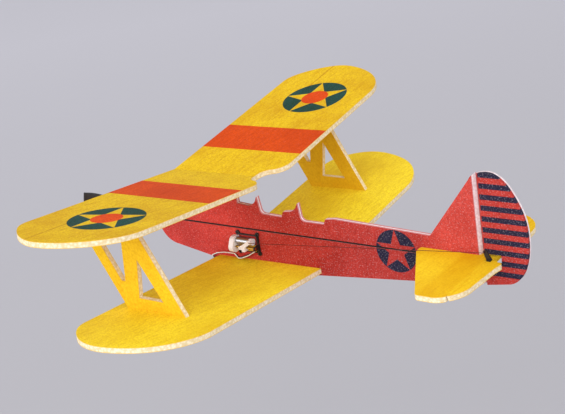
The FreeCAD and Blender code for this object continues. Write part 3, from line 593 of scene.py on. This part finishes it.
def skin(name, material, corners, normal, child, start, end):
    """A thin closed strip across a hinge line."""
    lift = Vector(normal) * FILM
    first, last, width = (Vector(corner) for corner in corners)
    steps, rows = 24, 8
    points = []
    for layer in (0.3, 1.3):
        for row in range(rows + 1):
            across = width * (row / rows - 0.5)
            for step in range(steps + 1):
                points.append(first.lerp(last, step / steps) + across + lift * layer)
    faces = []
    stride = steps + 1
    sheet = stride * (rows + 1)
    for row in range(rows):
        for step in range(steps):
            a = row * stride + step
            faces.append((a, a + stride, a + 1 + stride, a + 1))
            faces.append((sheet + a, sheet + a + 1, sheet + a + 1 + stride, sheet + a + stride))
    last_row = rows * stride
    border = [*range(stride), *range(2 * stride - 1, last_row + stride, stride),
              *range(last_row + steps - 1, last_row - 1, -1), *range(last_row - stride, 0, -stride)]
    for here, there in zip(border, border[1:] + border[:1]):
        faces.append((here, there, there + sheet, here + sheet))
    mesh = bpy.data.meshes.new(name)
    mesh.from_pydata(points, [], faces)
    mesh.materials.append(material)
    piece = bpy.data.objects.new(name, mesh)
    bpy.context.scene.collection.objects.link(piece)
    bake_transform(piece)


RUDDER_X, ELEVATOR_X = -136.0 * MM, -140.5 * MM
BEND = 0.6 * MM                       # how far each side of the hinge line the start and end points given to skin lie
SKIN_WIDTH = 3.0 * MM
right_face = -SHEET / 2
for name, low, high in (("rudder_skin_low", 12.0, 21.5), ("rudder_skin_high", 28.5, 69.0)):
    skin(name, rudder_print,
         ((RUDDER_X, right_face, low * MM), (RUDDER_X, right_face, high * MM), (-SKIN_WIDTH, 0, 0)),
         (0, -1, 0), "rudder", (RUDDER_X + BEND, right_face, 0), (RUDDER_X - BEND, right_face, 0))
for name, near, far in (("elevator_skin_left", 7.5, 46.6), ("elevator_skin_right", -46.6, -3.0)):
    skin(name, tail_print,
         ((ELEVATOR_X, near * MM, TAIL_TOP), (ELEVATOR_X, far * MM, TAIL_TOP), (-SKIN_WIDTH, 0, 0)),
         (0, 0, 1), "elevator", (ELEVATOR_X + BEND, 0, TAIL_TOP), (ELEVATOR_X - BEND, 0, TAIL_TOP))


# ---------------------------------------------------------------- floor, light and camera

def floor():
    size, level = 8.0, -0.5
    mesh = bpy.data.meshes.new("floor")
    corners = [(-size, -size, level), (size, -size, level), (size, size, level), (-size, size, level)]
    mesh.from_pydata(corners, [], [(0, 1, 2, 3)])
    g = Graph("floor_grey")
    x, y, _ = g.split(g.place)
    # painted light: the floor is painted paler with distance from the camera, offsetting the lamps' fall-off
    painted_light_far = g.minus(g.both(x, 0.64), g.both(y, 0.77))
    tone = g.mix(g.noise(g.place, 2.0), srgb(174, 172, 176), srgb(171, 169, 173))
    tone = g.mix(g.stretch(painted_light_far, 0.7, 2.9), tone, srgb(192, 190, 196))
    mesh.materials.append(g.finish(tone, 0.9, Specular_IOR_Level=0.1))
    piece = bpy.data.objects.new("floor", mesh)
    bpy.context.scene.collection.objects.link(piece)


def soft_light(name, place, aim, size, power):
    lamp = bpy.data.lights.new(name, "AREA")
    lamp.shape = "DISK"
    lamp.size = size
    lamp.energy = power
    item = bpy.data.objects.new(name, lamp)
    item.location = place
    item.rotation_euler = (Vector(aim) - Vector(place)).to_track_quat("-Z", "Y").to_euler()
    bpy.context.scene.collection.objects.link(item)


def camera():
    data = bpy.data.cameras.new("camera")
    data.lens, data.sensor_width = 81.47, 36.0
    item = bpy.data.objects.new("camera", data)
    place = Vector((-0.42579, 0.51653, 0.30025))
    aim = Vector((-0.0196, 0.0079, 0.0428))
    roll = math.radians(-9.2)
    item.location = place
    look = (aim - place).to_track_quat("-Z", "Y").to_matrix()
    item.rotation_euler = (look @ Matrix.Rotation(roll, 3, "Z")).to_euler()
    bpy.context.scene.collection.objects.link(item)
    bpy.context.scene.camera = item


def sky():
    world = bpy.data.worlds.new("studio")
    world.use_nodes = True
    bpy.context.scene.world = world
    background = world.node_tree.nodes["Background"]
    background.inputs["Color"].default_value = (0.95, 0.96, 1.0, 1.0)
    background.inputs["Strength"].default_value = 0.98


floor()
sky()
soft_light("key", (-1.4, 3.0, 2.0), (0, 0, 0.03), 2.8, 62)
soft_light("top", (0.4, 0.2, 3.6), (0, 0, 0.0), 3.2, 10)
soft_light("fill", (1.6, 3.2, 0.3), (0, 0, 0.03), 2.4, 52)
soft_light("side", (-2.8, 2.0, 0.6), (0, 0, 0.03), 2.4, 24)
camera()
bpy.context.scene.view_settings.view_transform = "Standard"
